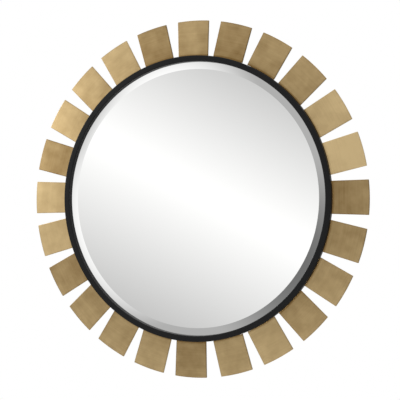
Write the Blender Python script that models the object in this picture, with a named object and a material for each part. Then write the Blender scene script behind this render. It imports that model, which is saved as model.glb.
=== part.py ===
"""Round sunburst wall mirror: a bevelled glass in a black steel hoop with brass plates welded round it.

The origin is the centre of the flat back, on the wall. +Z is up, and the mirror faces -Y.
Lengths are in metres.
"""

import math

import bmesh
import bpy

# The whole mirror
OVERALL_RADIUS = 0.480
SEGMENTS = 144
FIT_GAP = 0.0003

# The hoop, a square steel bar rolled into a circle, with a thin band behind it that holds the glass
HOOP_OUTER_RADIUS = 0.384
HOOP_WIDTH = 0.016
HOOP_PROUD = 0.012
HOOP_EDGE_ROUND = 0.0022
EDGE_STEPS = 3
BAND_INNER_RADIUS = 0.375
BAND_THICKNESS = 0.003

# The plates, cut with straight sides and a curved outer end
PLATE_COUNT = 24
PLATE_THICKNESS = 0.005
PLATE_HALF_WIDTH = 0.0450
PLATE_TAPER_DEG = 1.48
PLATE_OUTER_STEPS = 6
PLATE_INNER_STEPS = 6
# They were set one after another from the right of the bottom, a hair closer than an even
# spacing, so the last gap is about a degree wider than the rest
FIRST_PLATE_DEG = -74.84
PLATE_PITCH_DEG = 14.967
PLATE_EDGE_BREAK = 0.0005

# The glass
GLASS_RADIUS = 0.374
GLASS_THICKNESS = 0.005
BEVEL_WIDTH = 0.0254
GLASS_EDGE = 0.0020

# The board behind the glass, flush with the back of the band
BOARD_RADIUS = 0.3746
BOARD_THICKNESS = 0.009
BOARD_EDGE_BREAK = 0.001

# The two keyhole hangers let into the board, one stud spacing apart
HANGER_SPACING = 0.4064
HANGER_HEIGHT = 0.260
HANGER_WIDTH = 0.016
HANGER_LENGTH = 0.046
HANGER_THICKNESS = 0.0016
SCREW_HEAD_RADIUS = 0.0045
SCREW_NECK_RADIUS = 0.0023
NECK_RISE = 0.014
KEYHOLE_DROP = 0.006
HEAD_ROOM_WIDTH = 0.0110
HEAD_ROOM_DEPTH = 0.0064
HEAD_ROOM_SPARE = 0.0015
END_STEPS = 10
CUT_OVERRUN = 0.001

# Depths along Y, from the wall at 0 to the front
BOARD_FRONT = -BOARD_THICKNESS
GLASS_BACK = BOARD_FRONT - FIT_GAP
GLASS_FRONT = GLASS_BACK - GLASS_THICKNESS
BEVEL_DROP = GLASS_THICKNESS - GLASS_EDGE
HOOP_INNER_RADIUS = HOOP_OUTER_RADIUS - HOOP_WIDTH
BEVEL_START = GLASS_RADIUS - BEVEL_WIDTH
BEVEL_UNDER_LIP = GLASS_FRONT + BEVEL_DROP * (HOOP_INNER_RADIUS - BEVEL_START) / BEVEL_WIDTH
HOOP_BACK = BEVEL_UNDER_LIP - FIT_GAP
PLATE_FRONT = HOOP_BACK - PLATE_THICKNESS
HOOP_FRONT = PLATE_FRONT - HOOP_PROUD


def clear_scene():
    for obj in list(bpy.data.objects):
        bpy.data.objects.remove(obj)


def make_material(name, colour, roughness, metallic):
    material = bpy.data.materials.new(name)
    material.use_nodes = True
    shader = material.node_tree.nodes["Principled BSDF"]
    shader.inputs["Base Color"].default_value = (*colour, 1.0)
    shader.inputs["Roughness"].default_value = roughness
    shader.inputs["Metallic"].default_value = metallic
    return material


def add_object(name, mesh, material=None, sharp_angle=30.0):
    mesh.shade_smooth()
    mesh.set_sharp_from_angle(angle=math.radians(sharp_angle))
    obj = bpy.data.objects.new(name, mesh)
    if material is not None:
        mesh.materials.clear()
        mesh.materials.append(material)
    bpy.context.scene.collection.objects.link(obj)
    return obj


def arc(centre, radius, start_deg, end_deg, steps):
    """Points of a circular arc, both ends included."""
    points = []
    for step in range(steps + 1):
        angle = math.radians(start_deg + (end_deg - start_deg) * step / steps)
        points.append((centre[0] + radius * math.cos(angle), centre[1] + radius * math.sin(angle)))
    return points


def turn(name, profile, closed):
    """A mesh turned about the Y axis from a profile of (radius, y) points."""
    bm = bmesh.new()
    verts = [bm.verts.new((radius, depth, 0.0)) for radius, depth in profile]
    edges = [bm.edges.new(pair) for pair in zip(verts, verts[1:])]
    if closed:
        edges.append(bm.edges.new((verts[-1], verts[0])))
    bmesh.ops.spin(
        bm,
        geom=verts + edges,
        cent=(0.0, 0.0, 0.0),
        axis=(0.0, 1.0, 0.0),
        angle=math.tau,
        steps=SEGMENTS,
        use_merge=True,
    )
    bmesh.ops.remove_doubles(bm, verts=bm.verts, dist=1e-6)
    bmesh.ops.dissolve_degenerate(bm, edges=bm.edges, dist=1e-6)
    bmesh.ops.recalc_face_normals(bm, faces=bm.faces)
    mesh = bpy.data.meshes.new(name)
    bm.to_mesh(mesh)
    bm.free()
    return mesh


def extrude_outline(name, outline, y_front, y_back, edge_break=0.0):
    """A prism along Y from an outline of (x, z) points, with its edges broken by a small chamfer if asked."""
    bm = bmesh.new()
    face = bm.faces.new([bm.verts.new((x, y_front, z)) for x, z in outline])
    grown = bmesh.ops.extrude_face_region(bm, geom=[face])["geom"]
    for item in grown:
        if isinstance(item, bmesh.types.BMVert):
            item.co.y = y_back
    bmesh.ops.recalc_face_normals(bm, faces=bm.faces)
    if edge_break > 0.0:
        rims = [edge for edge in bm.edges if abs(edge.verts[0].co.y - edge.verts[1].co.y) < 1e-6]
        bmesh.ops.bevel(bm, geom=rims, offset=edge_break, offset_type="OFFSET", segments=1, affect="EDGES")
    mesh = bpy.data.meshes.new(name)
    bm.to_mesh(mesh)
    bm.free()
    return mesh


def slot_outline(centre_z, width, length):
    """An upright slot with round ends, centred on x 0."""
    radius = width / 2
    reach = length / 2 - radius
    top = arc((0.0, centre_z + reach), radius, 0.0, 180.0, END_STEPS)
    bottom = arc((0.0, centre_z - reach), radius, 180.0, 360.0, END_STEPS)
    return top + bottom


def keyhole_outline(centre_z):
    """A round entry for the screw's head with a narrow slot rising from it, centred on x 0."""
    meet = math.degrees(math.acos(SCREW_NECK_RADIUS / SCREW_HEAD_RADIUS))
    entry = arc((0.0, centre_z), SCREW_HEAD_RADIUS, 180.0 - meet, 360.0 + meet, 2 * END_STEPS)
    neck = arc((0.0, centre_z + NECK_RISE), SCREW_NECK_RADIUS, 0.0, 180.0, END_STEPS)
    return entry + neck


def plate_outline():
    """One plate lying along +X: an arc against the hoop, straight sides that widen, and an arc at the rim."""
    taper = math.tan(math.radians(PLATE_TAPER_DEG))

    def side_angle(radius):
        """The angle at which the plate's straight side crosses a circle of this radius."""
        half = PLATE_HALF_WIDTH
        for _ in range(4):
            along = math.sqrt(radius * radius - half * half)
            half = PLATE_HALF_WIDTH - (OVERALL_RADIUS - along) * taper
        return math.degrees(math.asin(half / radius))

    inner_radius = HOOP_OUTER_RADIUS + FIT_GAP
    outer = side_angle(OVERALL_RADIUS)
    inner = side_angle(inner_radius)
    rim = arc((0.0, 0.0), OVERALL_RADIUS, -outer, outer, PLATE_OUTER_STEPS)
    root = arc((0.0, 0.0), inner_radius, inner, -inner, PLATE_INNER_STEPS)
    return rim + root


def cut(target, cutter):
    cutter.hide_render = True
    cutter.display_type = "WIRE"
    modifier = target.modifiers.new("cut_" + cutter.name, "BOOLEAN")
    modifier.operation = "DIFFERENCE"
    modifier.solver = "EXACT"
    modifier.object = cutter


def build_hoop(material):
    """The hoop and the band welded behind it, painted together as one piece."""
    outer = HOOP_OUTER_RADIUS
    inner = HOOP_INNER_RADIUS
    rounding = HOOP_EDGE_ROUND
    round_y = HOOP_FRONT + rounding
    inner_edge = arc((inner + rounding, round_y), rounding, 180.0, 270.0, EDGE_STEPS)
    outer_edge = arc((outer - rounding, round_y), rounding, 270.0, 360.0, EDGE_STEPS)
    band_outer = BAND_INNER_RADIUS + BAND_THICKNESS
    profile = [(inner, HOOP_BACK)]
    profile += inner_edge
    profile += outer_edge
    profile += [
        (outer, HOOP_BACK),
        (band_outer, HOOP_BACK),
        (band_outer, 0.0),
        (BAND_INNER_RADIUS, 0.0),
        (BAND_INNER_RADIUS, HOOP_BACK),
    ]
    return add_object("frame_ring", turn("frame_ring", profile, closed=True), material)


def build_plates(material):
    """The ring of plates, numbered anticlockwise from the right of the bottom as the viewer sees them."""
    mesh = extrude_outline("plate", plate_outline(), PLATE_FRONT, HOOP_BACK, PLATE_EDGE_BREAK)
    for index in range(PLATE_COUNT):
        plate = add_object(f"plate_{index + 1:02d}", mesh, material)
        angle = FIRST_PLATE_DEG + index * PLATE_PITCH_DEG
        plate.rotation_euler = (0.0, -math.radians(angle), 0.0)


def build_glass(material):
    profile = [
        (0.0, GLASS_FRONT),
        (BEVEL_START, GLASS_FRONT),
        (GLASS_RADIUS, GLASS_FRONT + BEVEL_DROP),
        (GLASS_RADIUS, GLASS_BACK),
        (0.0, GLASS_BACK),
    ]
    return add_object("mirror_glass", turn("mirror_glass", profile, closed=False), material, sharp_angle=3.0)


def build_board(material):
    """The board, with a seat for each hanger and room behind it for the wall screw's head."""
    profile = [
        (0.0, BOARD_FRONT),
        (BOARD_RADIUS, BOARD_FRONT),
        (BOARD_RADIUS, -BOARD_EDGE_BREAK),
        (BOARD_RADIUS - BOARD_EDGE_BREAK, 0.0),
        (0.0, 0.0),
    ]
    board = add_object("backing_board", turn("backing_board", profile, closed=False), material)
    seat = slot_outline(0.0, HANGER_WIDTH + 2 * FIT_GAP, HANGER_LENGTH + 2 * FIT_GAP)
    room_length = HEAD_ROOM_WIDTH + NECK_RISE + 2 * HEAD_ROOM_SPARE
    room_centre = NECK_RISE / 2 - KEYHOLE_DROP
    room = slot_outline(room_centre, HEAD_ROOM_WIDTH, room_length)
    for side, x in (("left", -HANGER_SPACING / 2), ("right", HANGER_SPACING / 2)):
        for label, outline, depth in (
            ("seat", seat, HANGER_THICKNESS + FIT_GAP),
            ("room", room, HEAD_ROOM_DEPTH),
        ):
            mesh = extrude_outline(f"{label}_{side}", outline, -depth, CUT_OVERRUN)
            cutter = add_object(f"cutter_{label}_{side}", mesh)
            cutter.location = (x, 0.0, HANGER_HEIGHT)
            cut(board, cutter)
    return board


def build_hangers(material):
    """Two steel keyhole plates, flush with the back of the board."""
    outline = slot_outline(0.0, HANGER_WIDTH, HANGER_LENGTH)
    keyhole = keyhole_outline(-KEYHOLE_DROP)
    for side, x in (("left", -HANGER_SPACING / 2), ("right", HANGER_SPACING / 2)):
        mesh = extrude_outline(f"hanger_{side}", outline, -HANGER_THICKNESS, 0.0)
        hanger = add_object(f"hanger_{side}", mesh, material)
        hole = extrude_outline(f"keyhole_{side}", keyhole, -HANGER_THICKNESS - CUT_OVERRUN, CUT_OVERRUN)
        cutter = add_object(f"cutter_keyhole_{side}", hole)
        for obj in (hanger, cutter):
            obj.location = (x, 0.0, HANGER_HEIGHT)
        cut(hanger, cutter)


def main():
    clear_scene()
    build_hoop(make_material("satin_black_paint", (0.012, 0.012, 0.012), 0.38, 0.0))
    build_plates(make_material("antique_brass", (0.46, 0.33, 0.16), 0.38, 1.0))
    build_glass(make_material("silvered_glass", (0.92, 0.93, 0.93), 0.02, 1.0))
    build_board(make_material("painted_fibreboard", (0.02, 0.02, 0.02), 0.75, 0.0))
    build_hangers(make_material("zinc_plated_steel", (0.55, 0.56, 0.57), 0.35, 1.0))


main()
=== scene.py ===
"""The finished look of a round sunburst wall mirror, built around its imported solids.

Laid out as a Blender add-on and run as a script. Lengths are in metres, +Z is up, the wall is the plane
y = 0 and the mirror faces -Y.
"""

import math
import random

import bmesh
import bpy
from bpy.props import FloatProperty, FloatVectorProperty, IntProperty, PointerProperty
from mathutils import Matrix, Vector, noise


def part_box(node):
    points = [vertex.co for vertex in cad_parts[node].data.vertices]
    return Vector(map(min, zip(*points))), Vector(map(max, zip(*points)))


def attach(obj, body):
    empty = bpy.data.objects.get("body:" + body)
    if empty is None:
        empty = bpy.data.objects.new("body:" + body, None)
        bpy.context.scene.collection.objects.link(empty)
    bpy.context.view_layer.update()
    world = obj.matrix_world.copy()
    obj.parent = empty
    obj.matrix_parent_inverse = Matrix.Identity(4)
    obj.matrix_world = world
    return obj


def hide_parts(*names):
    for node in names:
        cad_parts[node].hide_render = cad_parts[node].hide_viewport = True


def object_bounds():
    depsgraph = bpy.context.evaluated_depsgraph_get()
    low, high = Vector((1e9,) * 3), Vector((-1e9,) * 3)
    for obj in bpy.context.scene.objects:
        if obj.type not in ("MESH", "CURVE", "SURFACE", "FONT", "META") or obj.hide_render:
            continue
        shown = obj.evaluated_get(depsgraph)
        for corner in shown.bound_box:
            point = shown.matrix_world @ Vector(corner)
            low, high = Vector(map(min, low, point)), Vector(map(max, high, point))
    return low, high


bl_info = {
    "name": "Sunburst wall mirror",
    "version": (1, 0, 0),
    "blender": (4, 5, 0),
    "location": "3D View > Sidebar > Mirror",
    "description": "Finishes a round bevelled mirror in a black steel hoop with brass plates around it",
    "category": "Add Mesh",
}

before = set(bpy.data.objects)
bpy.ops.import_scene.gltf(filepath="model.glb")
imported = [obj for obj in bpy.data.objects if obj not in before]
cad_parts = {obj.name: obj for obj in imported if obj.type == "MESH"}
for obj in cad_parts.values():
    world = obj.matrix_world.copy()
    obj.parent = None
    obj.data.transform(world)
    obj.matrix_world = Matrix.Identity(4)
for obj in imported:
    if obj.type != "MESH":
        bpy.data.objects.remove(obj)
cad_low, cad_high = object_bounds()

MM = 0.001

# Sockets of two nodes that are used often: the colour side of Mix with its output, and Map Range
MIX = (0, 6, 7)
MIX_COLOUR = 2
RANGE = ("Value", "From Min", "From Max", "To Min", "To Max")
PLATE_NODES = sorted(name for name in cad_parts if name.startswith("plate_"))

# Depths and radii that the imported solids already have
RIM_RADIUS = cad_high.x
HOOP_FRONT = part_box("frame_ring")[0].y
HOOP_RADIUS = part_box("frame_ring")[1].x
PLATE_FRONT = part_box(PLATE_NODES[0])[0].y
PLATE_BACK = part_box(PLATE_NODES[0])[1].y
GLASS_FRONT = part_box("mirror_glass")[0].y
GLASS_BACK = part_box("mirror_glass")[1].y
GLASS_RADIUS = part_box("mirror_glass")[1].x


def hex_to_linear(code):
    """An sRGB hex colour, such as "B5995F", as three linear values."""
    linear = []
    for start in (0, 2, 4):
        value = int(code[start : start + 2], 16) / 255
        linear.append(value / 12.92 if value <= 0.04045 else ((value + 0.055) / 1.055) ** 2.4)
    return tuple(linear)


def length(name, description, default):
    return FloatProperty(name=name, description=description, default=default, unit="LENGTH", precision=5)


def level(name, description, default):
    return FloatProperty(name=name, description=description, default=default, min=0.0, precision=4)


def place_in_room(name, description, default):
    return FloatVectorProperty(
        name=name, description=description, default=default, size=3, subtype="TRANSLATION", unit="LENGTH"
    )


def colour(name, description, code):
    linear = hex_to_linear(code)
    return FloatVectorProperty(
        name=name, description=description, default=linear, size=3, subtype="COLOR", min=0.0, max=1.0
    )


class HoopSettings(bpy.types.PropertyGroup):
    width: length("Width", "Width of the square bar, seen from the front", 16 * MM)
    edge_round: length("Edge rounding", "Radius of the bar's two front edges", 2.2 * MM)
    band_inner: length("Band inner radius", "Inner radius of the thin band behind the bar", 0.375)
    band_thickness: length("Band thickness", "Thickness of the thin band that holds the glass", 3 * MM)
    paint: colour("Paint", "Satin black paint", "101011")
    paint_grit: length("Paint texture", "Spacing of the paint's fine dimples", 0.9 * MM)


class PlateSettings(bpy.types.PropertyGroup):
    half_width: length("Half width", "Half of the plate's width at the rim", 45 * MM)
    taper: FloatProperty(
        name="Taper",
        description="Lean of each side towards the hoop",
        default=math.radians(1.48),
        subtype="ANGLE",
    )
    edge_round: length("Edge rounding", "Radius of the sanded edges", 0.8 * MM)
    unevenness: length("Unevenness", "How far the brushed face waves in and out", 0.04 * MM)
    wave: length("Wave length", "Distance between two waves of the face", 48 * MM)
    light: colour("Light brass", "Where the patina is rubbed back", "DBC190")
    # The dark brass also gives the painted shade next to the hoop.
    dark: colour("Dark brass", "Where the patina has stayed", "81663D")
    brush_pitch: length("Brush pitch", "Width of the brush marks, drawn wide enough to show", 3.2 * MM)
    brush_run: length("Brush run", "Length of a brush mark along the ring", 110 * MM)
    line_pitch: length("Line pitch", "Spacing of the fine brush lines, drawn coarser than real", 0.5 * MM)
    # Width of the painted shade against the hoop, which stands in for the hoop's shadow and dark
    # reflection.
    root_painted_shade: length("Root patina", "Width of the dark patina left against the hoop", 7 * MM)
    cloud_size: length("Cloud size", "Size of the soft clouds in the patina", 34 * MM)
    seed: IntProperty(
        name="Seed", description="Picks how the tone differs from plate to plate", default=1992862
    )


class GlassSettings(bpy.types.PropertyGroup):
    bevel_width: length("Bevel width", "Width of the ground bevel, with what the hoop covers", 25.4 * MM)
    edge: length("Edge", "Thickness of the glass at its rim", 2 * MM)
    silver: colour("Silver", "What the silvered face gives back", "FBFBFA")
    ground: colour("Ground edge", "The matt edge of the glass", "9DB3AA")
    backing: colour("Backing paint", "Paint over the silver, on the back", "6C7276")


class BoardSettings(bpy.types.PropertyGroup):
    paint: colour("Paint", "Black paint on the board", "232322")
    stipple: length("Stipple", "Spacing of the roller's stipple", 1.4 * MM)
    raw: colour("Raw board", "Bare fibre inside the milled pockets", "8A6B4A")


class FixingSettings(bpy.types.PropertyGroup):
    zinc: colour("Zinc", "Bright zinc plating", "C3C7CB")
    yellowed: colour("Yellowed zinc", "The faint yellow of the passivation", "B7B7A6")
    hanger_screw_head: length("Hanger screw head", "Radius of the sunk screw heads", 2.9 * MM)
    hanger_screw_spot: length("Hanger screw spot", "From the hanger's middle to each screw", 17.5 * MM)
    hanger_screw_sunk: length("Hanger screw depth", "Depth of each head in the hanger", 0.12 * MM)
    keyhole_entry: length("Keyhole entry", "Radius of the round hole for the wall screw's head", 4.5 * MM)
    keyhole_neck: length("Keyhole neck", "Half of the width of the slot above it", 2.3 * MM)
    keyhole_drop: length("Keyhole drop", "How far the entry lies under the hanger's middle", 6 * MM)
    keyhole_rise: length("Keyhole rise", "How far the slot rises from the entry", 14 * MM)
    band_screws: IntProperty(
        name="Band screws", description="Screws through the band into the board", default=8
    )
    band_screw_head: length("Band screw head", "Radius of the screws round the band", 3 * MM)
    band_screw_height: length("Band screw height", "How far those heads stand out", 2 * MM)
    band_screw_depth: length("Band screw depth", "How far in front of the wall those screws sit", 4.6 * MM)
    weld_length: length("Weld length", "Length of the weld bead behind each plate", 66 * MM)
    weld_width: length("Weld width", "Width of the weld bead behind each plate", 5 * MM)
    weld_height: length("Weld height", "How far the bead stands out behind", 1.6 * MM)
    weld_ripple: length("Weld ripple", "Distance between two ripples of the bead", 2.2 * MM)


class StageSettings(bpy.types.PropertyGroup):
    floor_drop: length("Floor drop", "How far the floor lies under the mirror's middle", 1.35)
    floor_radius: length("Floor radius", "Radius of the round floor", 2.4)
    floor: colour("Floor", "Pale matt floor", "E9E8E5")
    camera_place: place_in_room("Camera place", "Where the camera stands", (1.0157, -2.5843, -0.0340))
    camera_aim: place_in_room("Camera aim", "The point the camera looks at", (0.0215, -0.0173, 0.0749))
    camera_roll: FloatProperty(
        name="Camera roll", description="Lean of the camera", default=math.radians(-0.068), subtype="ANGLE"
    )
    lens: FloatProperty(
        name="Lens", description="Focal length in mm", default=92.3, subtype="DISTANCE_CAMERA"
    )
    shift: FloatProperty(name="Shift", description="Upright shift of the lens", default=-0.075)
    strip_slant: FloatProperty(
        name="Strip slant",
        description="Slant of the strip light as seen in the glass",
        default=math.radians(153.8),
        subtype="ANGLE",
    )
    strip_offset: length("Strip offset", "How far above the middle the strip crosses", 22.7 * MM)
    strip_level: level("Strip level", "Brightness along the strip light", 1.11)
    strip_rounding: level("Strip rounding", "Softness of the strip's middle", 0.0042)
    strip_falloff: level("Strip falloff", "Brightness lost per metre across the glass", 1.46)
    side_light_place: place_in_room(
        "Side light place", "Where the soft light at the upper left hangs", (-1.5, -0.7, 0.55)
    )
    side_light_size: length("Side light size", "Width of the soft light at the upper left", 0.5)
    side_light_power: FloatProperty(
        name="Side light power", description="Power of that light", default=10.5, unit="POWER"
    )
    room_level: level("Room level", "Brightness of the studio around", 0.45)
    panel_level: level("Panel level", "Brightness of the left panel", 1.08)
    overhead_level: level("Overhead level", "Brightness of the overhead panel", 0.95)


def add_node(tree, kind, inputs=(), output=0, **settings):
    """Adds a node and returns one of its outputs. inputs pairs sockets with values, or with the outputs
    they link to, and settings are the node's own attributes."""
    node = tree.nodes.new(kind)
    for name, value in settings.items():
        setattr(node, name, value)
    for key, value in dict(inputs).items():
        socket = node.inputs[key]
        if isinstance(value, bpy.types.NodeSocket):
            tree.links.new(value, socket)
        elif socket.type == "RGBA":
            socket.default_value = (*value, 1.0)
        else:
            socket.default_value = value
    return node.outputs[output]


def new_material(name, **values):
    """A material with its Principled shader set from plain values, and its node tree."""
    material = bpy.data.materials.new(name)
    material.use_nodes = True
    tree = material.node_tree
    shader = tree.nodes["Principled BSDF"]
    for socket, value in values.items():
        shader.inputs[socket.replace("_", " ")].default_value = value
    return material, tree, shader


def shade(colour_value, share):
    """A colour made lighter or darker by a share."""
    return tuple(share * value for value in colour_value)


def grain(tree, vector, size, run=None, detail=2.0, phase=0.0):
    """A pattern of spots that are size wide, or drawn out to run along Z."""
    run = size if run is None else run
    scale = (1 / size, 1 / size, 1 / run)
    scaled = add_node(tree, "ShaderNodeMapping", {"Vector": vector, "Scale": scale}, vector_type="POINT")
    inputs = {"Vector": scaled, "W": phase, "Scale": 1.0, "Detail": detail}
    return add_node(tree, "ShaderNodeTexNoise", inputs, output="Fac", noise_dimensions="4D")


def satin_black_paint(settings):
    """Satin black paint sprayed on steel: nearly neutral, soft highlights on the edges, fine dimples."""
    material, tree, shader = new_material(
        "satin_black_paint", Roughness=0.36, IOR=1.5, Specular_IOR_Level=0.18
    )
    place = add_node(tree, "ShaderNodeTexCoord", output="Object")
    cloud = grain(tree, place, 60 * MM, detail=3.0)
    dimples = grain(tree, place, settings.paint_grit, detail=1.0)
    paint = tuple(settings.paint)
    colours = zip(MIX, (cloud, paint, shade(paint, 1.35)))
    sprayed = add_node(tree, "ShaderNodeMix", colours, output=MIX_COLOUR, data_type="RGBA")
    rough = add_node(tree, "ShaderNodeMapRange", zip(RANGE, (cloud, 0.3, 0.7, 0.33, 0.41)))
    dimpled = add_node(tree, "ShaderNodeBump", {"Height": dimples, "Distance": 0.04 * MM})
    tree.links.new(sprayed, shader.inputs["Base Color"])
    tree.links.new(rough, shader.inputs["Roughness"])
    tree.links.new(dimpled, shader.inputs["Normal"])
    return material


def brushed_antique_brass(settings):
    """Antique brass sheet, brushed along the ring: a warm satin metal with soft dark clouds of patina,
    painted shade that is darkest where each plate meets the hoop, standing in for the hoop's shadow and
    its dark reflection, and fine lines that run along the ring."""
    material, tree, shader = new_material(
        "brushed_antique_brass", Metallic=1.0, Roughness=0.38, Anisotropic=0.45
    )
    place = add_node(tree, "ShaderNodeTexCoord", output="Object")
    tone = add_node(tree, "ShaderNodeAttribute", output="Fac", attribute_name="tone")
    phase = add_node(tree, "ShaderNodeAttribute", output="Fac", attribute_name="phase")
    edge = add_node(tree, "ShaderNodeAttribute", output="Fac", attribute_name="edge")
    clouds = grain(tree, place, settings.cloud_size, detail=2.0, phase=phase)
    marks = grain(tree, place, settings.brush_pitch, settings.brush_run, detail=3.0, phase=phase)
    lines = grain(tree, place, settings.line_pitch, 60 * MM, detail=2.0, phase=phase)
    reach = add_node(tree, "ShaderNodeVectorMath", {0: place}, output="Value", operation="LENGTH")
    # Painted shade: the brass darkens towards the hoop, standing in for the hoop's shadow and its dark
    # reflection.
    root_shade_end = HOOP_RADIUS + settings.root_painted_shade
    root_shade_span = (reach, HOOP_RADIUS, root_shade_end, -0.45, 0.0)
    root = add_node(tree, "ShaderNodeMapRange", zip(RANGE, root_shade_span))
    # Painted shade: each plate is darker towards the hoop and lighter towards the rim, standing in for the
    # shade the hoop casts.
    hoop_shade_slope_span = (reach, HOOP_RADIUS, RIM_RADIUS, -0.09, 0.09)
    slope = add_node(tree, "ShaderNodeMapRange", zip(RANGE, hoop_shade_slope_span))
    cloudy = add_node(tree, "ShaderNodeMapRange", zip(RANGE, (clouds, 0.25, 0.75, -0.15, 0.15)))
    brushed = add_node(tree, "ShaderNodeMapRange", zip(RANGE, (marks, 0.25, 0.75, -0.05, 0.05)))
    worn_edge = add_node(tree, "ShaderNodeMath", {0: edge, 1: -0.25}, operation="MULTIPLY")
    # This sum mixes the random tone, clouds, brush marks and darkened edges with the painted shade near
    # the hoop.
    rubbed = tone
    for part in (root, slope, cloudy, brushed, worn_edge):
        rubbed = add_node(tree, "ShaderNodeMath", {0: rubbed, 1: part}, operation="ADD")
    colours = zip(MIX, (rubbed, tuple(settings.dark), tuple(settings.light)))
    brass = add_node(tree, "ShaderNodeMix", colours, output=MIX_COLOUR, data_type="RGBA")
    rough = add_node(tree, "ShaderNodeMapRange", zip(RANGE, (marks, 0.3, 0.7, 0.42, 0.34)))
    across = {0: place, 1: (0.0, 1.0, 0.0)}
    along_ring = add_node(
        tree, "ShaderNodeVectorMath", across, output="Vector", operation="CROSS_PRODUCT"
    )
    tangent = add_node(tree, "ShaderNodeVectorTransform", {0: along_ring}, vector_type="VECTOR")
    scratched = add_node(tree, "ShaderNodeBump", {"Height": lines, "Distance": 0.02 * MM})
    tree.links.new(brass, shader.inputs["Base Color"])
    tree.links.new(rough, shader.inputs["Roughness"])
    tree.links.new(tangent, shader.inputs["Tangent"])
    tree.links.new(scratched, shader.inputs["Normal"])
    return material


def two_tone(tree, shader, pattern, first, second):
    """Lets a pattern mix two colours of one finish into the shader's base colour."""
    colours = zip(MIX, (pattern, first, second))
    mixed = add_node(tree, "ShaderNodeMix", colours, output=MIX_COLOUR, data_type="RGBA")
    tree.links.new(mixed, shader.inputs["Base Color"])


def silvered_glass(settings):
    """Float glass silvered on the back: a clean neutral mirror with a trace of haze from wiping."""
    material, tree, shader = new_material("silvered_glass", Metallic=1.0, Roughness=0.0)
    place = add_node(tree, "ShaderNodeTexCoord", output="Object")
    wiped = grain(tree, place, 90 * MM, 220 * MM)
    silver = tuple(settings.silver)
    two_tone(tree, shader, wiped, silver, shade(silver, 0.992))
    return material


def ground_glass(settings):
    """The rim of the glass, ground on a stone: matt, pale green and faintly see-through."""
    material, tree, shader = new_material("ground_glass_edge", Roughness=0.45, IOR=1.52)
    place = add_node(tree, "ShaderNodeTexCoord", output="Object")
    stone = grain(tree, place, 0.6 * MM)
    ground = tuple(settings.ground)
    two_tone(tree, shader, stone, ground, shade(ground, 0.75))
    return material


def mirror_backing_paint(settings):
    """Grey protective paint, curtain coated over the silver: smooth and matt."""
    material, tree, shader = new_material("mirror_backing_paint", Roughness=0.6)
    place = add_node(tree, "ShaderNodeTexCoord", output="Object")
    curtain = grain(tree, place, 14 * MM, 160 * MM)
    paint = tuple(settings.backing)
    two_tone(tree, shader, curtain, paint, shade(paint, 0.85))
    return material


def painted_fibreboard(settings):
    """Medium density fibreboard, rolled with black paint and then milled: the paint has the roller's fine
    stipple, and the pockets behind the hangers are bare brown fibre."""
    material, tree, shader = new_material("painted_fibreboard", Roughness=0.62)
    place = add_node(tree, "ShaderNodeTexCoord", output="Object")
    stipple = grain(tree, place, settings.stipple)
    cloud = grain(tree, place, 70 * MM, detail=3.0)
    fibre = grain(tree, place, 0.7 * MM, 3 * MM)
    paint = tuple(settings.paint)
    raw = tuple(settings.raw)
    depth = add_node(tree, "ShaderNodeSeparateXYZ", {0: place}, output="Y")
    milled = add_node(tree, "ShaderNodeMapRange", zip(RANGE, (depth, -0.2 * MM, -0.5 * MM, 0.0, 1.0)))
    rolled_inputs = zip(MIX, (cloud, paint, shade(paint, 1.5)))
    rolled = add_node(tree, "ShaderNodeMix", rolled_inputs, output=MIX_COLOUR, data_type="RGBA")
    bare_inputs = zip(MIX, (fibre, raw, shade(raw, 1.25)))
    bare = add_node(tree, "ShaderNodeMix", bare_inputs, output=MIX_COLOUR, data_type="RGBA")
    two_tone(tree, shader, milled, rolled, bare)
    rough = add_node(tree, "ShaderNodeMapRange", zip(RANGE, (cloud, 0.3, 0.7, 0.55, 0.70)))
    stippled = add_node(tree, "ShaderNodeBump", {"Height": stipple, "Distance": 0.08 * MM})
    tree.links.new(rough, shader.inputs["Roughness"])
    tree.links.new(stippled, shader.inputs["Normal"])
    return material


def bright_zinc(settings):
    """Bright zinc plating on stamped steel sheet: cool grey, rolled lines, faint yellow clouds."""
    material, tree, shader = new_material("bright_zinc_plate", Metallic=1.0, Roughness=0.3)
    place = add_node(tree, "ShaderNodeTexCoord", output="Object")
    cloud = grain(tree, place, 6 * MM)
    rolled = grain(tree, place, 0.25 * MM, 12 * MM)
    two_tone(tree, shader, cloud, tuple(settings.zinc), tuple(settings.yellowed))
    rough = add_node(tree, "ShaderNodeMapRange", zip(RANGE, (rolled, 0.3, 0.7, 0.26, 0.38)))
    lined = add_node(tree, "ShaderNodeBump", {"Height": rolled, "Distance": 0.01 * MM})
    tree.links.new(rough, shader.inputs["Roughness"])
    tree.links.new(lined, shader.inputs["Normal"])
    return material


def pale_floor(settings):
    """A matt pale studio floor with the faintest mottling."""
    material, tree, shader = new_material("pale_studio_floor", Roughness=0.8)
    place = add_node(tree, "ShaderNodeTexCoord", output="Object")
    mottle = grain(tree, place, 0.4, detail=3.0)
    floor = tuple(settings.floor)
    two_tone(tree, shader, mottle, floor, shade(floor, 0.96))
    return material


def arc(centre, radius, start_deg, end_deg, steps):
    """Points of a circular arc, both ends included."""
    points = []
    for step in range(steps + 1):
        angle = math.radians(start_deg + (end_deg - start_deg) * step / steps)
        points.append((centre[0] + radius * math.cos(angle), centre[1] + radius * math.sin(angle)))
    return points


def place_mesh(name, bm, materials, sharp_angle):
    """Turns a bmesh into an object, with smooth faces and crisp edges above the given angle."""
    bmesh.ops.recalc_face_normals(bm, faces=bm.faces)
    mesh = bpy.data.meshes.new(name)
    bm.to_mesh(mesh)
    bm.free()
    mesh.shade_smooth()
    mesh.set_sharp_from_angle(angle=math.radians(sharp_angle))
    for material in materials:
        mesh.materials.append(material)
    obj = bpy.data.objects.new(name, mesh)
    bpy.context.scene.collection.objects.link(obj)
    return obj


def finish_piece(obj, slot, *nodes):
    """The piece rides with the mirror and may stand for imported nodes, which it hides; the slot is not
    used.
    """
    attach(obj, "root")
    if nodes:
        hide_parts(*nodes)
    return obj


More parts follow.
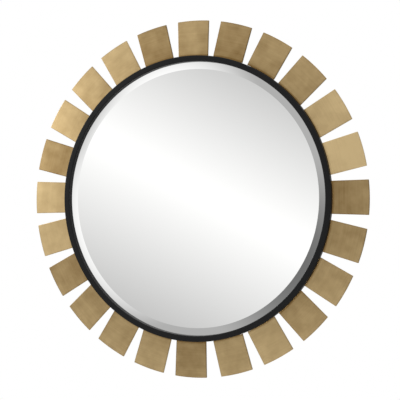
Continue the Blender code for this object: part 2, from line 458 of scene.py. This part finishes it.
def turned(bm, profile, segments, closed):
    """Turns a profile of (radius, y) points about the Y axis. A point on the axis becomes one vertex."""
    rings = []
    for radius, depth in profile:
        if radius < 1e-7:
            rings.append([bm.verts.new((0.0, depth, 0.0))] * segments)
            continue
        ring = []
        for step in range(segments):
            angle = math.tau * step / segments
            ring.append(bm.verts.new((radius * math.cos(angle), depth, radius * math.sin(angle))))
        rings.append(ring)
    pairs = list(zip(rings, rings[1:]))
    if closed:
        pairs.append((rings[-1], rings[0]))
    faces = []
    for inner, outer in pairs:
        band = []
        for step in range(segments):
            after = (step + 1) % segments
            corners = [inner[step], inner[after], outer[after], outer[step]]
            corners = [vert for index, vert in enumerate(corners) if vert not in corners[:index]]
            band.append(bm.faces.new(corners))
        faces.append(band)
    return faces


def extruded(bm, outline, y_front, y_back):
    """A prism along Y from an outline of (x, z) points."""
    face = bm.faces.new([bm.verts.new((x, y_front, z)) for x, z in outline])
    grown = bmesh.ops.extrude_face_region(bm, geom=[face])["geom"]
    for item in grown:
        if isinstance(item, bmesh.types.BMVert):
            item.co.y = y_back


def bevel_sharp(bm, width, segments, least_angle=50.0):
    """Rounds every edge that turns by more than the given angle."""
    sharp = [edge for edge in bm.edges if edge.calc_face_angle(0.0) > math.radians(least_angle)]
    bmesh.ops.bevel(
        bm, geom=sharp, offset=width, offset_type="OFFSET", segments=segments, profile=0.5, affect="EDGES"
    )


def keep_faces_flat(obj):
    """Shades the flat faces flat and lets only the rounded edges turn."""
    obj.modifiers.new("flat_faces", "WEIGHTED_NORMAL").keep_sharp = True


def build_hoop(settings):
    """The bar and the band behind it, turned finer than the solid, with the same section."""
    segments = 288
    outer = HOOP_RADIUS
    inner = outer - settings.width
    rounding = settings.edge_round
    round_y = HOOP_FRONT + rounding
    band_outer = settings.band_inner + settings.band_thickness
    profile = [(inner, PLATE_BACK)]
    profile += arc((inner + rounding, round_y), rounding, 180.0, 270.0, 6)
    profile += arc((outer - rounding, round_y), rounding, 270.0, 360.0, 6)
    profile += [(outer, PLATE_BACK), (band_outer, PLATE_BACK), (band_outer, 0.0)]
    profile += [(settings.band_inner, 0.0), (settings.band_inner, PLATE_BACK)]
    bm = bmesh.new()
    turned(bm, profile, segments, closed=True)
    obj = place_mesh("hoop_painted", bm, [satin_black_paint(settings)], 35.0)
    keep_faces_flat(obj)
    # In the photograph the bevel shows no dark image of the hoop, so reflections leave it out.
    obj.visible_glossy = False
    return finish_piece(obj, "hoop_paint", "frame_ring")


def plate_angle(node):
    """The direction of a plate's middle line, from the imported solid."""
    points = [vert.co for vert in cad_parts[node].data.vertices]
    middle = sum(points, Vector()) / len(points)
    return math.atan2(middle.z, middle.x)


def plate_side(settings, radius):
    """Half of the angle that a plate spans at this radius."""
    half = settings.half_width
    for _ in range(4):
        along = math.sqrt(radius * radius - half * half)
        half = settings.half_width - (RIM_RADIUS - along) * math.tan(settings.taper)
    return math.asin(half / radius)


def spaced(count, border, span):
    """count + 1 steps from 0 to 1, with a narrow step of the border's width at each end."""
    narrow = border / span
    return [0.0] + [narrow + (1 - 2 * narrow) * step / (count - 2) for step in range(count - 1)] + [1.0]


def build_plate(settings, node, material, rng):
    """One plate, lying along +X in its own space, with a fine front that waves a little."""
    root = HOOP_RADIUS + 0.3 * MM
    border = 3 * MM
    columns = spaced(16, border, 2 * settings.half_width)
    rows = spaced(16, border, RIM_RADIUS - root)
    phase = rng.uniform(0.0, 90.0)
    tone = rng.gauss(0.5, 0.22)
    angle = plate_angle(node)
    bm = bmesh.new()
    edge_layer = bm.verts.layers.float.new("edge")
    grid = []
    for row in rows:
        radius = root + (RIM_RADIUS - root) * row
        side = plate_side(settings, radius)
        line = []
        for column in columns:
            turn = side * (2 * column - 1)
            vert = bm.verts.new((radius * math.cos(turn), PLATE_FRONT, radius * math.sin(turn)))
            on_border = row in (0.0, 1.0) or column in (0.0, 1.0)
            vert[edge_layer] = 1.0 if on_border else 0.0
            line.append(vert)
        grid.append(line)
    for low, high in zip(grid, grid[1:]):
        for index in range(len(columns) - 1):
            bm.faces.new([low[index], low[index + 1], high[index + 1], high[index]])
    front = list(bm.faces)
    grown = bmesh.ops.extrude_face_region(bm, geom=front)["geom"]
    back = [item for item in grown if isinstance(item, bmesh.types.BMVert)]
    for vert in back:
        vert.co.y = PLATE_BACK
    for line in grid[1:-1]:
        for vert in line[1:-1]:
            spot = Vector((vert.co.x / settings.wave, phase, vert.co.z / settings.wave))
            vert.co.y += settings.unevenness * noise.noise(spot)
    bmesh.ops.recalc_face_normals(bm, faces=bm.faces)
    bevel_sharp(bm, settings.edge_round, 3)
    name = node.replace("plate", "brass_plate")
    obj = place_mesh(name, bm, [material], 40.0)
    for label, value in (("tone", tone), ("phase", phase)):
        attribute = obj.data.attributes.new(label, "FLOAT", "POINT")
        attribute.data.foreach_set("value", [value] * len(obj.data.vertices))
    obj.matrix_world = Matrix.Rotation(-angle, 4, "Y")
    keep_faces_flat(obj)
    return finish_piece(obj, "plate_brass", node)


def build_glass(settings):
    """The bevelled glass, turned finer than the solid, with its face, ground rim and painted back."""
    segments = 360
    start = GLASS_RADIUS - settings.bevel_width
    rim_front = GLASS_BACK - settings.edge
    profile = [
        (0.0, GLASS_FRONT),
        (start * 0.5, GLASS_FRONT),
        (start, GLASS_FRONT),
        (GLASS_RADIUS, rim_front),
        (GLASS_RADIUS, GLASS_BACK),
        (0.0, GLASS_BACK),
    ]
    bm = bmesh.new()
    bands = turned(bm, profile, segments, closed=False)
    for index, material_index in ((3, 1), (4, 2)):
        for face in bands[index]:
            face.material_index = material_index
    materials = [silvered_glass(settings), ground_glass(settings), mirror_backing_paint(settings)]
    obj = place_mesh("mirror_glass_silvered", bm, materials, 3.0)
    return finish_piece(obj, "silvered_glass", "mirror_glass")


def slot_outline(width, tall, steps=14):
    """An upright slot with round ends, centred on the origin."""
    radius = width / 2
    reach = tall / 2 - radius
    upper = arc((0.0, reach), radius, 0.0, 180.0, steps)
    lower = arc((0.0, -reach), radius, 180.0, 360.0, steps)
    return upper + lower


def keyhole_outline(settings):
    """A round entry for the wall screw's head with a narrow slot rising from it."""
    entry = settings.keyhole_entry
    neck = settings.keyhole_neck
    entry_z = -settings.keyhole_drop
    meet = math.degrees(math.acos(neck / entry))
    round_part = arc((0.0, entry_z), entry, 180.0 - meet, 360.0 + meet, 24)
    return round_part + arc((0.0, entry_z + settings.keyhole_rise), neck, 0.0, 180.0, 12)


def cut_away(obj, cutters):
    """Cuts the cutters out of the object for good, and removes them."""
    for cutter in cutters:
        modifier = obj.modifiers.new("cut", "BOOLEAN")
        modifier.operation = "DIFFERENCE"
        modifier.solver = "EXACT"
        modifier.object = cutter
    bpy.context.view_layer.update()
    finished = bpy.data.meshes.new_from_object(obj.evaluated_get(bpy.context.evaluated_depsgraph_get()))
    if not finished.polygons:
        raise RuntimeError(f"cutting {obj.name} left nothing")
    obj.modifiers.clear()
    obj.data = finished
    for cutter in cutters:
        bpy.data.objects.remove(cutter)
    return obj


def cross_cutters(size, depth, spot):
    """The two tapered arms of a screwdriver's tip, pointing to -Y from the spot given."""
    outline = [(-size, -0.16 * size), (size, -0.16 * size), (size, 0.16 * size), (-size, 0.16 * size)]
    arms = []
    for turn in (0.0, math.pi / 2):
        bm = bmesh.new()
        extruded(bm, outline, -depth, 0.2 * MM)
        for vert in bm.verts:
            if vert.co.y < 0.0:
                vert.co.x *= 0.45
                vert.co.z *= 0.6
        bmesh.ops.rotate(bm, verts=bm.verts, cent=(0, 0, 0), matrix=Matrix.Rotation(turn, 3, "Y"))
        arm = place_mesh("cross_cutter", bm, [], 30.0)
        arm.location = spot
        arms.append(arm)
    return arms


def build_hanger(settings, node, material):
    """One keyhole plate with sunk holes, and the two screws that hold it to the board."""
    low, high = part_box(node)
    middle = (low + high) / 2
    width = high.x - low.x
    tall = high.z - low.z
    thick = high.y - low.y
    head = settings.hanger_screw_head
    bm = bmesh.new()
    extruded(bm, slot_outline(width, tall), -thick, 0.0)
    bmesh.ops.recalc_face_normals(bm, faces=bm.faces)
    bevel_sharp(bm, 0.25 * MM, 2)
    obj = place_mesh(node.replace("hanger", "keyhole_plate"), bm, [material], 35.0)
    cutter_mesh = bmesh.new()
    extruded(cutter_mesh, keyhole_outline(settings), -thick - MM, MM)
    cutters = [place_mesh("keyhole_cutter", cutter_mesh, [], 30.0)]
    screw_spots = (-settings.hanger_screw_spot, settings.hanger_screw_spot)
    shank = 0.45 * head
    over = 0.1 * MM
    gap = 0.25 * MM
    sink_profile = [(0.0, over), (head + gap, over), (shank, -thick - over), (0.0, -thick - over)]
    for spot in screw_spots:
        sink = bmesh.new()
        turned(sink, sink_profile, 32, closed=False)
        cutter = place_mesh("sink_cutter", sink, [], 30.0)
        cutter.location.z = spot
        cutters.append(cutter)
    cut_away(obj, cutters)
    obj.data.transform(Matrix.Translation((middle.x, 0.0, middle.z)))
    finish_piece(obj, "hanger_zinc", node)
    top = -settings.hanger_screw_sunk
    head_rim = top - 0.18 * MM
    screw_profile = [(0.0, top), (head, top), (head, head_rim), (shank, -thick), (0.0, -thick)]
    for label, spot, turn_deg in zip(("lower", "upper"), screw_spots, (25.0, 65.0)):
        screw_mesh = bmesh.new()
        turned(screw_mesh, screw_profile, 32, closed=False)
        screw = place_mesh(f"{node}_screw_{label}", screw_mesh, [material], 35.0)
        cut_away(screw, cross_cutters(0.55 * head, 1.0 * MM, (0.0, top, 0.0)))
        turn = Matrix.Rotation(math.radians(turn_deg), 4, "Y")
        screw.data.transform(Matrix.Translation((middle.x, 0.0, middle.z + spot)) @ turn)
        finish_piece(screw, "hanger_zinc")


def build_band_screws(settings, band_outer, material):
    """Round-headed screws set through the band into the edge of the board."""
    head = settings.band_screw_head
    tall = settings.band_screw_height
    crown = 0.45
    steps = 6
    dome = [(0.0, 0.0), (head, 0.0)]
    for step in range(1, steps):
        angle = math.pi / 2 * step / steps
        dome.append((head * (1 - crown * (1 - math.cos(angle))), tall * math.sin(angle)))
    dome.append((0.0, tall))
    for index in range(settings.band_screws):
        bm = bmesh.new()
        turned(bm, dome, 28, closed=False)
        screw = place_mesh(f"band_screw_{index + 1}", bm, [material], 35.0)
        cut_away(screw, cross_cutters(0.5 * head, 1.2 * MM, (0.0, tall, 0.0)))
        angle = math.tau * (index + 0.5) / settings.band_screws
        stand = Matrix.Rotation(-math.pi / 2, 4, "Z")
        out = Matrix.Translation((band_outer, -settings.band_screw_depth, 0.0)) @ stand
        screw.data.transform(Matrix.Rotation(-angle, 4, "Y") @ out)
        finish_piece(screw, "hanger_zinc")


def build_weld(settings, node, material):
    """The rippled bead that joins one plate to the hoop behind, laid along the joint."""
    half_angle = 0.5 * settings.weld_length / HOOP_RADIUS
    middle = plate_angle(node)
    steps = 60
    around = 8
    bm = bmesh.new()
    rings = []
    run = settings.weld_length
    for step in range(steps + 1):
        share = step / steps
        turn = middle + half_angle * (2 * share - 1)
        ends = math.sqrt(max(0.0, 1 - (2 * share - 1) ** 8))
        ripple = 1 + 0.10 * math.cos(math.tau * share * run / settings.weld_ripple)
        size = max(0.02, ends * ripple)
        ring = []
        for corner in range(around):
            angle = math.tau * corner / around
            radius = HOOP_RADIUS + 0.5 * settings.weld_width * size * math.cos(angle)
            depth = PLATE_BACK + settings.weld_height * size * math.sin(angle)
            ring.append(bm.verts.new((radius * math.cos(turn), depth, radius * math.sin(turn))))
        rings.append(ring)
    for low, high in zip(rings, rings[1:]):
        for corner in range(around):
            after = (corner + 1) % around
            bm.faces.new([low[corner], low[after], high[after], high[corner]])
    bm.faces.new(rings[0])
    bm.faces.new(rings[-1])
    obj = place_mesh(node.replace("plate", "weld"), bm, [material], 60.0)
    return finish_piece(obj, "hoop_paint")


def reflected_direction(camera, point):
    """Where a ray from the camera goes once a point of the flat glass has mirrored it."""
    return Vector((point.x - camera.x, -(point.y - camera.y), point.z - camera.z)).normalized()


def room_direction(azimuth, elevation):
    """A direction in front of the mirror: azimuth 0 is straight ahead and positive to the right."""
    turn = math.radians(azimuth)
    rise = math.radians(elevation)
    return Vector((math.sin(turn) * math.cos(rise), -math.cos(turn) * math.cos(rise), math.sin(rise)))


def soft_patch(tree, ray, centre, inner, outer, level):
    """A round patch of light around a direction, full within inner degrees and gone at outer degrees."""
    pair = {0: ray, 1: centre}
    towards = add_node(tree, "ShaderNodeVectorMath", pair, output="Value", operation="DOT_PRODUCT")
    span = (towards, math.cos(math.radians(outer)), math.cos(math.radians(inner)), 0.0, level)
    return add_node(tree, "ShaderNodeMapRange", zip(RANGE, span), interpolation_type="SMOOTHSTEP")


def strip_light(tree, ray, settings):
    """The tone of the long strip light, brightest along its middle and fading evenly to both sides."""
    camera = Vector(settings.camera_place)
    slant = settings.strip_slant
    along = Vector((math.cos(slant), 0.0, math.sin(slant)))
    across = Vector((-math.sin(slant), 0.0, math.cos(slant)))
    middle = Vector((0.0, GLASS_FRONT, 0.0)) - settings.strip_offset * across
    ends = [reflected_direction(camera, middle + reach * along) for reach in (-0.3, 0.3)]
    strip_side = ends[0].cross(ends[1]).normalized()
    slope = settings.strip_falloff * (camera - middle).length
    pair = {0: ray, 1: strip_side}
    off = add_node(tree, "ShaderNodeVectorMath", pair, output="Value", operation="DOT_PRODUCT")
    squared = add_node(tree, "ShaderNodeMath", {0: off, 1: off}, operation="MULTIPLY")
    eased = add_node(tree, "ShaderNodeMath", {0: squared, 1: settings.strip_rounding**2}, operation="ADD")
    away = add_node(tree, "ShaderNodeMath", {0: eased}, operation="SQRT")
    lost = add_node(tree, "ShaderNodeMath", {0: away, 1: slope}, operation="MULTIPLY")
    return add_node(tree, "ShaderNodeMath", {0: settings.strip_level, 1: lost}, operation="SUBTRACT")


def build_world(settings):
    """Soft studio light: a strip light on the slant, a broad panel at the left, an overhead panel, a
    narrow one far right, and a dimmer room. The background is plain white."""
    world = bpy.data.worlds.new("soft_studio")
    bpy.context.scene.world = world
    world.use_nodes = True
    tree = world.node_tree
    tree.nodes.clear()
    ray = add_node(tree, "ShaderNodeTexCoord", output="Generated")
    room = settings.room_level
    left_panel = (
        (room_direction(-23.1, 5.0), 13.6, 17.6, 0.80),
        (room_direction(-25.0, 0.0), 15.1, 18.5, 0.77),
        (room_direction(-11.0, -5.5), 0.0, 15.8, -0.34),
    )
    for patch in left_panel:
        added = soft_patch(tree, ray, *patch)
        room = add_node(tree, "ShaderNodeMath", {0: room, 1: added}, operation="ADD")
    room = add_node(tree, "ShaderNodeMath", {0: room, 1: settings.panel_level}, operation="MINIMUM")
    camera = Vector(settings.camera_place)
    facing = reflected_direction(camera, Vector((0.0, GLASS_FRONT, 0.0)))
    window = soft_patch(tree, ray, facing, 8.5, 12.0, 1.0)
    strip = strip_light(tree, ray, settings)
    lit = add_node(tree, "ShaderNodeMix", {0: window, 2: room, 3: strip}, data_type="FLOAT")
    other_panels = (
        (room_direction(70.0, 0.0), 6.0, 16.0, 1.5),
        (Vector((0.0, 0.0, 1.0)), 50.0, 70.0, settings.overhead_level),
    )
    for patch in other_panels:
        added = soft_patch(tree, ray, *patch)
        lit = add_node(tree, "ShaderNodeMath", {0: lit, 1: added}, operation="ADD")
    studio = add_node(tree, "ShaderNodeBackground", {"Color": (1.0, 1.0, 1.0), "Strength": lit})
    white = add_node(tree, "ShaderNodeBackground", {"Color": (1.0, 1.0, 1.0), "Strength": 1.0})
    seen = add_node(tree, "ShaderNodeLightPath", output="Is Camera Ray")
    shown = add_node(tree, "ShaderNodeMixShader", {0: seen, 1: studio, 2: white})
    output = tree.nodes.new("ShaderNodeOutputWorld")
    tree.links.new(shown, output.inputs["Surface"])


def build_side_light(settings):
    """A square soft light at the upper left that rakes across the brass and the hoop on that side."""
    data = bpy.data.lights.new("left_softbox", "AREA")
    data.shape = "SQUARE"
    data.size = settings.side_light_size
    data.energy = settings.side_light_power
    lamp = bpy.data.objects.new("left_softbox", data)
    bpy.context.scene.collection.objects.link(lamp)
    spot = Vector(settings.side_light_place)
    aim = RIM_RADIUS * Vector((-0.85, 0.0, 0.35)) - spot
    lamp.matrix_world = Matrix.Translation(spot) @ aim.to_track_quat("-Z", "Y").to_matrix().to_4x4()


def build_floor(settings):
    """A round pale floor, well under the mirror."""
    bm = bmesh.new()
    rim = arc((0.0, 0.0), settings.floor_radius, 0.0, 360.0, 128)[:-1]
    bm.faces.new([bm.verts.new((x, y, -settings.floor_drop)) for x, y in rim])
    obj = place_mesh("studio_floor", bm, [pale_floor(settings)], 30.0)


def build_camera(settings):
    """The camera at the photograph's angle, with the upright shift of its framing."""
    data = bpy.data.cameras.new("photo_camera")
    data.lens = settings.lens
    data.sensor_width = 36.0
    data.shift_y = settings.shift
    data.dof.use_dof = False
    camera = bpy.data.objects.new("photo_camera", data)
    bpy.context.scene.collection.objects.link(camera)
    spot = Vector(settings.camera_place)
    look = (Vector(settings.camera_aim) - spot).to_track_quat("-Z", "Y").to_matrix().to_4x4()
    roll = Matrix.Rotation(settings.camera_roll, 4, "Z")
    camera.matrix_world = Matrix.Translation(spot) @ look @ roll
    bpy.context.scene.camera = camera


class MIRROR_OT_hoop(bpy.types.Operator):
    """Finish the black hoop and the band behind it"""

    bl_idname = "mirror.hoop"
    bl_label = "Hoop"

    def execute(self, context):
        build_hoop(context.scene.mirror_hoop)
        return {"FINISHED"}


class MIRROR_OT_plates(bpy.types.Operator):
    """Finish the ring of brass plates"""

    bl_idname = "mirror.plates"
    bl_label = "Brass plates"

    def execute(self, context):
        settings = context.scene.mirror_plates
        material = brushed_antique_brass(settings)
        rng = random.Random(settings.seed)
        for node in PLATE_NODES:
            build_plate(settings, node, material, rng)
        return {"FINISHED"}


class MIRROR_OT_glass(bpy.types.Operator):
    """Finish the bevelled mirror glass"""

    bl_idname = "mirror.glass"
    bl_label = "Mirror glass"

    def execute(self, context):
        build_glass(context.scene.mirror_glass)
        return {"FINISHED"}


class MIRROR_OT_board(bpy.types.Operator):
    """Paint the backing board"""

    bl_idname = "mirror.board"
    bl_label = "Backing board"

    def execute(self, context):
        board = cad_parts["backing_board"]
        board.material_slots[0].material = painted_fibreboard(context.scene.mirror_board)
        return {"FINISHED"}


class MIRROR_OT_fixings(bpy.types.Operator):
    """Finish the hangers, screws and weld beads"""

    bl_idname = "mirror.fixings"
    bl_label = "Hangers, screws and welds"

    def execute(self, context):
        settings = context.scene.mirror_fixings
        zinc = bright_zinc(settings)
        for node in ("hanger_left", "hanger_right"):
            build_hanger(settings, node, zinc)
        hoop = context.scene.mirror_hoop
        build_band_screws(settings, hoop.band_inner + hoop.band_thickness, zinc)
        paint = bpy.data.materials["satin_black_paint"]
        for node in PLATE_NODES:
            build_weld(settings, node, paint)
        return {"FINISHED"}


class MIRROR_OT_stage(bpy.types.Operator):
    """Set up the floor, the soft light and the camera"""

    bl_idname = "mirror.stage"
    bl_label = "Stage"

    def execute(self, context):
        settings = context.scene.mirror_stage
        build_camera(settings)
        build_world(settings)
        build_side_light(settings)
        build_floor(settings)
        context.scene.view_settings.view_transform = "Standard"
        return {"FINISHED"}


OPERATORS = (
    MIRROR_OT_hoop,
    MIRROR_OT_plates,
    MIRROR_OT_glass,
    MIRROR_OT_board,
    MIRROR_OT_fixings,
    MIRROR_OT_stage,
)

SETTINGS = {
    "mirror_hoop": HoopSettings,
    "mirror_plates": PlateSettings,
    "mirror_glass": GlassSettings,
    "mirror_board": BoardSettings,
    "mirror_fixings": FixingSettings,
    "mirror_stage": StageSettings,
}


class MIRROR_PT_panel(bpy.types.Panel):
    """Lists the pieces of the mirror and their settings"""

    bl_idname = "MIRROR_PT_panel"
    bl_label = "Sunburst mirror"
    bl_space_type = "VIEW_3D"
    bl_region_type = "UI"
    bl_category = "Mirror"

    def draw(self, context):
        for operator, group in zip(OPERATORS, SETTINGS):
            box = self.layout.box()
            box.operator(operator.bl_idname)
            settings = getattr(context.scene, group)
            for name in settings.__annotations__:
                box.prop(settings, name)


def register():
    for cls in (*SETTINGS.values(), *OPERATORS, MIRROR_PT_panel):
        bpy.utils.register_class(cls)
    for name, cls in SETTINGS.items():
        setattr(bpy.types.Scene, name, PointerProperty(type=cls))


def unregister():
    for name in SETTINGS:
        delattr(bpy.types.Scene, name)
    for cls in reversed((*SETTINGS.values(), *OPERATORS, MIRROR_PT_panel)):
        bpy.utils.unregister_class(cls)


def main():
    register()
    for operator in OPERATORS:
        getattr(bpy.ops.mirror, operator.bl_idname.split(".")[1])()


if __name__ == "__main__":
    main()
